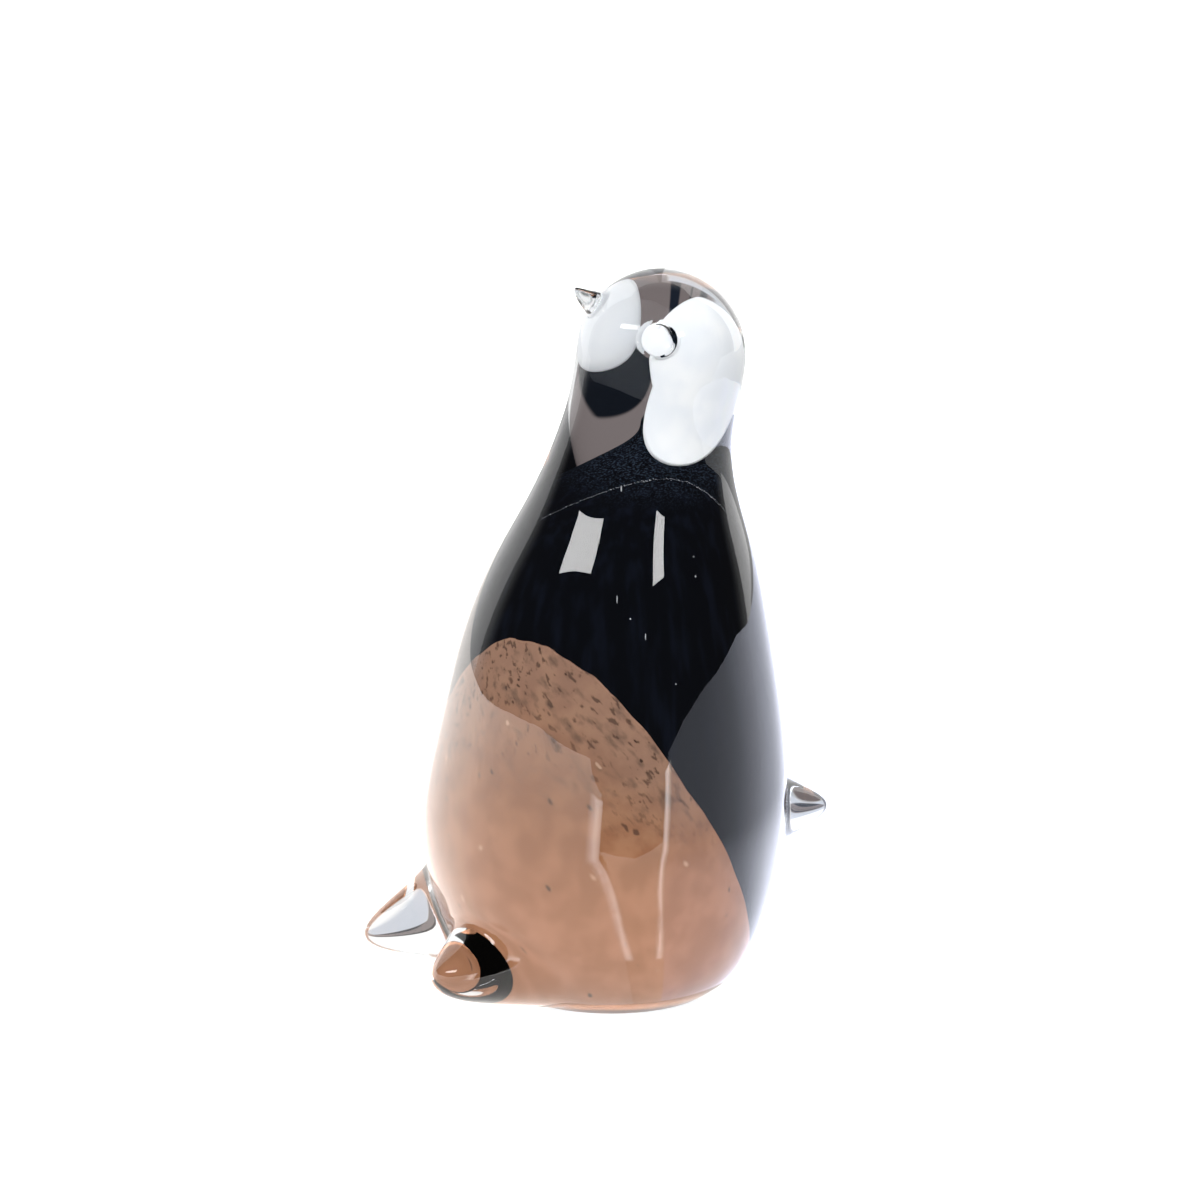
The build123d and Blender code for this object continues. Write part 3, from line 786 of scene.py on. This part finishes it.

# %% [markdown]
# The table is white laminate. To the eye of the camera it is plain white with the figure's soft shadow. Glass
# shows its surroundings more than itself, so through the glass the table gets painted light and shade: it is
# white close by, painted a pale grey on the left, and painted in shade in a fan behind the figure, darker in a
# far corner, with a few painted dark bars of shadow. These zones are worked out from how far a place lies behind
# the figure and beside it.

# %% The table's zones
HALF_TABLE = 3
FAN_SLOPE, FAN_START, CLOSE_SLOPE, CLOSE_START, SHADE_LEFT = 2.2, -0.03, 3.0, -0.222, 0.075
PAINTED_SHADOW_BARS, BAR_EDGE = ((-0.058, -0.046), (-0.033, -0.031), (-0.016, -0.003)), 0.0015
ZONE_EDGE, LEFT_EDGE, FAR_EDGE, CORNER_EDGE = 0.01, 0.005, (0.18, 0.21), (0.017, 0.021)
laminate_and_painted_shade, tree = new_material("white_laminate_with_painted_shade")
rays = node(tree, "LightPath").outputs
place = node(tree, "NewGeometry")
behind = node(tree, "VectorMath", DOT, _0=place, _1=tuple(facing(VIEW_TURN + 180)))
beside = node(tree, "VectorMath", DOT, _0=place, _1=tuple(facing(VIEW_TURN + 90)))
# Painted shadow: a fan of shade behind the figure, seen only through the glass.
fan = node(tree, "Math", MULTIPLY_ADD, _0=behind, _1=FAN_SLOPE, _2=FAN_START)
fan = node(tree, "Math", SUBTRACT, _0=fan, _1=node(tree, "Math", {"operation": "ABSOLUTE"}, _0=beside))
close_behind = node(tree, "Math", MULTIPLY_ADD, _0=behind, _1=CLOSE_SLOPE, _2=CLOSE_START)
close_beside = node(tree, "Math", MULTIPLY, _0=beside, _1=CLOSE_SLOPE)
close_by = node(tree, "Math", GREATER, _0=close_behind, _1=close_beside)
shade = node(tree, "Math", LESSER, _0=fan, _1=close_by)
shade = node(tree, "Math", LESSER, _0=shade, _1=node(tree, "Math", ADD, _0=beside, _1=SHADE_LEFT))
shade = node(tree, "MapRange", SMOOTH, Value=shade, From_Min=-ZONE_EDGE, From_Max=ZONE_EDGE)
shade = node(tree, "Math", MULTIPLY, _0=shade, _1=rays["Is Transmission Ray"])
left = node(tree, "MapRange", SMOOTH, Value=beside, From_Min=LEFT_EDGE, From_Max=-LEFT_EDGE)
in_fan = node(tree, "MapRange", SMOOTH, Value=fan, From_Min=-ZONE_EDGE, From_Max=ZONE_EDGE)
left = node(tree, "Math", MULTIPLY, _0=left, _1=in_fan)
left = node(tree, "Math", MULTIPLY, _0=left, _1=rays["Is Transmission Ray"])
far_behind = node(tree, "MapRange", SMOOTH, Value=behind, From_Min=FAR_EDGE[0], From_Max=FAR_EDGE[1])
corner = node(tree, "Math", MULTIPLY, _0=behind, _1=beside)
corner = node(tree, "MapRange", SMOOTH, Value=corner, From_Min=CORNER_EDGE[0], From_Max=CORNER_EDGE[1])
corner = node(tree, "Math", MULTIPLY, _0=far_behind, _1=corner)
print(laminate_and_painted_shade.name, len(tree.nodes), "nodes for its zones")

# %% [markdown]
# The zones then get their tones, and the ways of seeing are mixed: the camera and the lamps meet plain white
# laminate, and reflections and the glass meet the painted tones, which glow. In a reflection the table is painted
# dark beyond its front.

# %% Table
FRONT_FROM, FRONT_TO, CAMERA_LIFT = -0.10, -0.17, 0.36
# Painted shade: a pale grey on the left, a darker far corner and dark shadow bars.
pale = node(tree, "Mix", COLOURS, _0=left, _6="#ffffff", _7="#c9ced8")
dim = node(tree, "Mix", COLOURS, _0=corner, _6="#7c7373", _7="#10151d")
for low, high in PAINTED_SHADOW_BARS:
    above = node(tree, "MapRange", SMOOTH, Value=beside, From_Min=low - BAR_EDGE, From_Max=low + BAR_EDGE)
    below = node(tree, "MapRange", SMOOTH, Value=beside, From_Min=high + BAR_EDGE, From_Max=high - BAR_EDGE)
    bar = node(tree, "Math", MULTIPLY, _0=above, _1=below)
    dim = node(tree, "Mix", COLOURS, _0=bar, _6=dim, _7="#1a212d")
tone = node(tree, "Mix", COLOURS, _0=shade, _6=pale, _7=dim)
# Painted dark in reflections beyond the table's front.
front = node(tree, "MapRange", SMOOTH, Value=behind, From_Min=FRONT_FROM, From_Max=FRONT_TO)
front = node(tree, "Math", MULTIPLY, _0=front, _1=rays["Is Glossy Ray"])
tone = node(tree, "Mix", COLOURS, _0=front, _6=tone, _7="#3b3735")
laminate = node(tree, "BsdfDiffuse", Color="#e6e6e6")
lift = node(tree, "Math", MULTIPLY, _0=rays["Is Camera Ray"], _1=CAMERA_LIFT)
white = node(tree, "Emission", Color="#ffffff", Strength=lift)
seen = node(tree, "AddShader", _0=laminate, _1=white)
glow = node(tree, "Emission", Color=tone, Strength=1.0)
in_glass = node(tree, "Math", GREATER, _0=rays["Is Glossy Ray"], _1=rays["Is Transmission Ray"])
node(tree, "OutputMaterial", Surface=node(tree, "MixShader", _0=in_glass, _1=seen, _2=glow))
table_mesh = bpy.data.meshes.new("table")
corners = [(x * HALF_TABLE, y * HALF_TABLE, 0) for x, y in ((-1, -1), (1, -1), (1, 1), (-1, 1))]
table_mesh.from_pydata(corners, [], [(0, 1, 2, 3)])
table_mesh.materials.append(laminate_and_painted_shade)
table_top = bpy.data.objects.new("table", table_mesh)
bpy.context.collection.objects.link(table_top)
print(laminate_and_painted_shade.name, len(tree.nodes), "nodes")

# %% [markdown]
# The room is white behind the table and dim in front of it, where the camera stands. It could be a box of walls,
# but a world is simpler and has no edges to show. The camera sees plain white, and only reflections and the glass
# see the difference. Seen through the glass, the white reaches further round.

# %% Room
WALL_FROM, WALL_WIDTH, WALL_SHIFT, FILL = 0.25, 0.4, -1.1, 0.6
world = bpy.data.worlds.new("room")
bpy.context.scene.world = world
world.use_nodes = True
tree = world.node_tree
tree.nodes.clear()
rays = node(tree, "LightPath").outputs
look = node(tree, "TexCoord").outputs["Generated"]
behind = node(tree, "VectorMath", DOT, _0=look, _1=tuple(facing(VIEW_TURN + 180)))
wall_from = node(tree, "Math", MULTIPLY_ADD, _0=rays["Is Transmission Ray"], _1=WALL_SHIFT, _2=WALL_FROM)
wall_to = node(tree, "Math", ADD, _0=wall_from, _1=WALL_WIDTH)
wall = node(tree, "MapRange", SMOOTH, Value=behind, From_Min=wall_from, From_Max=wall_to)
walls = node(tree, "Mix", COLOURS, _0=wall, _6="#3b3735", _7="#ffffff")
reflected = node(tree, "Background", Color=walls, Strength=1.0)
soft = node(tree, "Background", Color="#ffffff", Strength=FILL)
seen = node(tree, "Background", Color="#ffffff", Strength=1.0)
in_glass = node(tree, "Math", GREATER, _0=rays["Is Glossy Ray"], _1=rays["Is Transmission Ray"])
lit = node(tree, "MixShader", _0=in_glass, _1=soft, _2=reflected)
node(tree, "OutputWorld", Surface=node(tree, "MixShader", _0=rays["Is Camera Ray"], _1=lit, _2=seen))
print(world.name, len(tree.nodes), "nodes")

# %% [markdown]
# Two small windows give the bright marks on the shoulder. Soft boxes all round light the coloured glass inside
# evenly, so that a colour shows about as it is written from every side. Glass would mirror the soft boxes too,
# so they are left out of the sampling that lets a reflection meet a lamp.

# %% Lamps
LAMP_AIM = Vector((0, 0, 60 * MM))


def lamp(name, turn, rise, distance, width, height, radiance, roll=0.0):
    """A rectangular lamp at that turn and rise, aimed at the penguin and rolled about its aim."""
    data = bpy.data.lights.new(name, "AREA")
    data.shape = "RECTANGLE"
    data.size, data.size_y, data.energy = width, height, radiance * math.pi * width * height
    made = bpy.data.objects.new(name, data)
    bpy.context.collection.objects.link(made)
    way = Vector(facing(VIEW_TURN + turn, rise))
    made.location = LAMP_AIM + way * distance
    made.rotation_mode = "QUATERNION"
    made.rotation_quaternion = (-way).to_track_quat("-Z", "Y") @ Quaternion((0, 0, 1), math.radians(roll))
    made.visible_camera = False
    return made


lamp("window_left", -52.8, 39.2, 1.0, 0.473, 0.112, 12.5, roll=9.6)
lamp("window_right", 30.8, 32.7, 1.0, 0.151, 0.117, 12.5)
for name, turn, rise, distance, size, radiance in (  # degrees, metres, brightness
    ("ceiling_panel", 120, 70, 1.4, 1.4, 1.4),
    ("softbox_key", -12, 30, 1.4, 1.1, 3.7),
    ("softbox_right", 60, 25, 1.4, 1.1, 2.4),
    ("softbox_left", -100, 25, 1.4, 1.1, 3.0),
    ("softbox_back", 165, 25, 1.4, 1.1, 3.2),
    ("table_bounce", 0, -89, 0.058, 0.9, 0.6),
):
    panel = lamp(name, turn, rise, distance, size, size, radiance)
    panel.data.cycles.use_multiple_importance_sampling = False
print(len(bpy.data.lights), "lamps")

# %% [markdown]
# A high-key photograph of glass has white cards set round the glass. Their reflections are the pale haze on
# the sides, and the gap between the two front cards is the dark tongue on the belly, edged by two bright lines.
# Lamps could do this, but a lamp is flat and even. Each card here is a sheet that lies on the table and turns up
# at its far edge, with a brightness that changes along it. Only reflections see it.

# %% How a card is made
CARD_COLUMNS, FLAT_ROWS, UPRIGHT_ROWS, CARD_SWEEP, CARD_LIFT = 41, 12, 4, 0.7, 1
FOOT_NEAR, FOOT_FAR = 70 * MM, 165 * MM


def card_points(near, ends):
    """Rows of points of a sheet, and the brightness of each column. An end is (turn at the near edge, turn at the
    far edge, far edge in mm, height that it turns up to in mm, brightness)."""
    ends = np.array(ends, float)
    across = np.linspace(ends[0, 1], ends[-1, 1], CARD_COLUMNS)
    near_turn, far, lift, glow = (np.interp(across, ends[:, 1], ends[:, k]) for k in (0, 2, 3, 4))
    rows = [(share, 0) for share in np.linspace(0, 1, FLAT_ROWS)]
    rows += [(1, up) for up in np.linspace(0, 1, UPRIGHT_ROWS + 1)[1:]]
    points = []
    for share, up in rows:
        reach = near + (far - near) * share
        sweep = share**CARD_SWEEP
        way = np.array([facing(VIEW_TURN + n + (f - n) * sweep) for n, f in zip(near_turn, across)])
        points.append(way * reach[:, None] + np.outer(CARD_LIFT + lift * up, [0, 0, 1]))
    return np.array(points), glow


def card(name, near, ends, gain_by_foot=1.0, tint="#ffffff"):
    """A lit sheet on the table, brighter by the gain close to the penguin."""
    points, glow = card_points(near, ends)
    made = make_piece(name, points, grid_faces(*points.shape[:2], closed=False))
    made.data.attributes.new("glow", "FLOAT", "POINT").data.foreach_set("value", np.tile(glow, len(points)))
    for kind in ("camera", "diffuse", "transmission", "shadow"):
        setattr(made, "visible_" + kind, False)
    sheet, tree = new_material(name + "_lit_paper")
    away = node(tree, "VectorMath", {"operation": "LENGTH"}, _0=node(tree, "NewGeometry"))
    fade = {"From_Min": FOOT_NEAR, "From_Max": FOOT_FAR, "To_Min": gain_by_foot, "To_Max": 1.0}
    gain = node(tree, "MapRange", SMOOTH, Value=away, **fade)
    written = node(tree, "Attribute", {"attribute_name": "glow"}).outputs["Fac"]
    strength = node(tree, "Math", MULTIPLY, _0=written, _1=gain)
    light = node(tree, "Emission", Color=tint, Strength=strength)
    node(tree, "OutputMaterial", Surface=light)
    made.data.materials.append(sheet)


print("a card has", FLAT_ROWS + UPRIGHT_ROWS, "rows and", CARD_COLUMNS, "columns")

# %% [markdown]
# Two broad cards go round the sides to the back, one low card closes the front, two narrow bright ones edge the
# tongue, and two tall walls stand far off at the back. Their turns are measured from the camera's.

# %% Cards
CARD_NEAR, CARD_FAR, STRIP_NEAR, STRIP_FAR = 20, 170, 33, 166
WALL_NEAR, WALL_FAR, WALL_TOP = 1500, 1550, 2600
LEFT_TONGUE, RIGHT_TONGUE = (11, -5), (25, 34)
LEFT_SIDE = [(-178, 60, 1.6), (-150, 57, 1.9), (-125, 54, 3.2), (-99, 58, 3.8)]
LEFT_SIDE += [(-68, 66, 2.6), (-50, 68, 2.2), (-14, 63, 1.9)]
RIGHT_SIDE = [(45, 62, 1.1), (60, 67, 1.15), (82, 67, 1.6), (95, 66, 2.3)]
RIGHT_SIDE += [(111, 59, 2.9), (130, 57, 2.7), (163, 59, 3.0), (178, 60, 2.2)]
FRONT = [(*LEFT_TONGUE, 240), (13, 4, 190), (18, 16, 160), (22, 26, 190), (*RIGHT_TONGUE, 240)]
left_ends = [(turn, turn, CARD_FAR, top, glow) for turn, top, glow in LEFT_SIDE]
right_ends = [(turn, turn, CARD_FAR, top, glow) for turn, top, glow in RIGHT_SIDE]
card("card_left", CARD_NEAR, left_ends + [(*LEFT_TONGUE, CARD_FAR, 52, 1.9)], tint="#fffaf6")
right_ends = [(*RIGHT_TONGUE, CARD_FAR, 55, 1.0)] + right_ends
card("card_right", CARD_NEAR, right_ends, gain_by_foot=1.9, tint="#e8ecfb")
card("card_front", CARD_NEAR, [(*end, 0, 1.6) for end in FRONT], tint="#fff6ee")
for name, ends in (
    ("edge_left", ((7, -12, 54, 2), (10, -7, 50, 6.5), (12, -4, 48, 3.5))),
    ("edge_right", ((22.5, 32, 50, 3), (24.5, 33.5, 51, 8), (27, 36, 53, 1.2))),
):
    card(name, STRIP_NEAR, [(near, far, STRIP_FAR, top, glow) for near, far, top, glow in ends])
for name, ends, glow in (("wall_left", (-178, -120), 1.5), ("wall_right", (118, 178), 2.2)):
    card(name, WALL_NEAR, [(turn, turn, WALL_FAR, WALL_TOP, glow) for turn in ends])

# %% [markdown]
# Caustics, the bright patches that glass throws, are slow to settle into a clean picture, so they are turned
# off. The Standard view shows a colour as it is written.

# %% Colour and caustics
scene = bpy.context.scene
scene.cycles.caustics_refractive = False
scene.cycles.caustics_reflective = False
scene.view_settings.view_transform = "Standard"
print("view", scene.view_settings.view_transform)
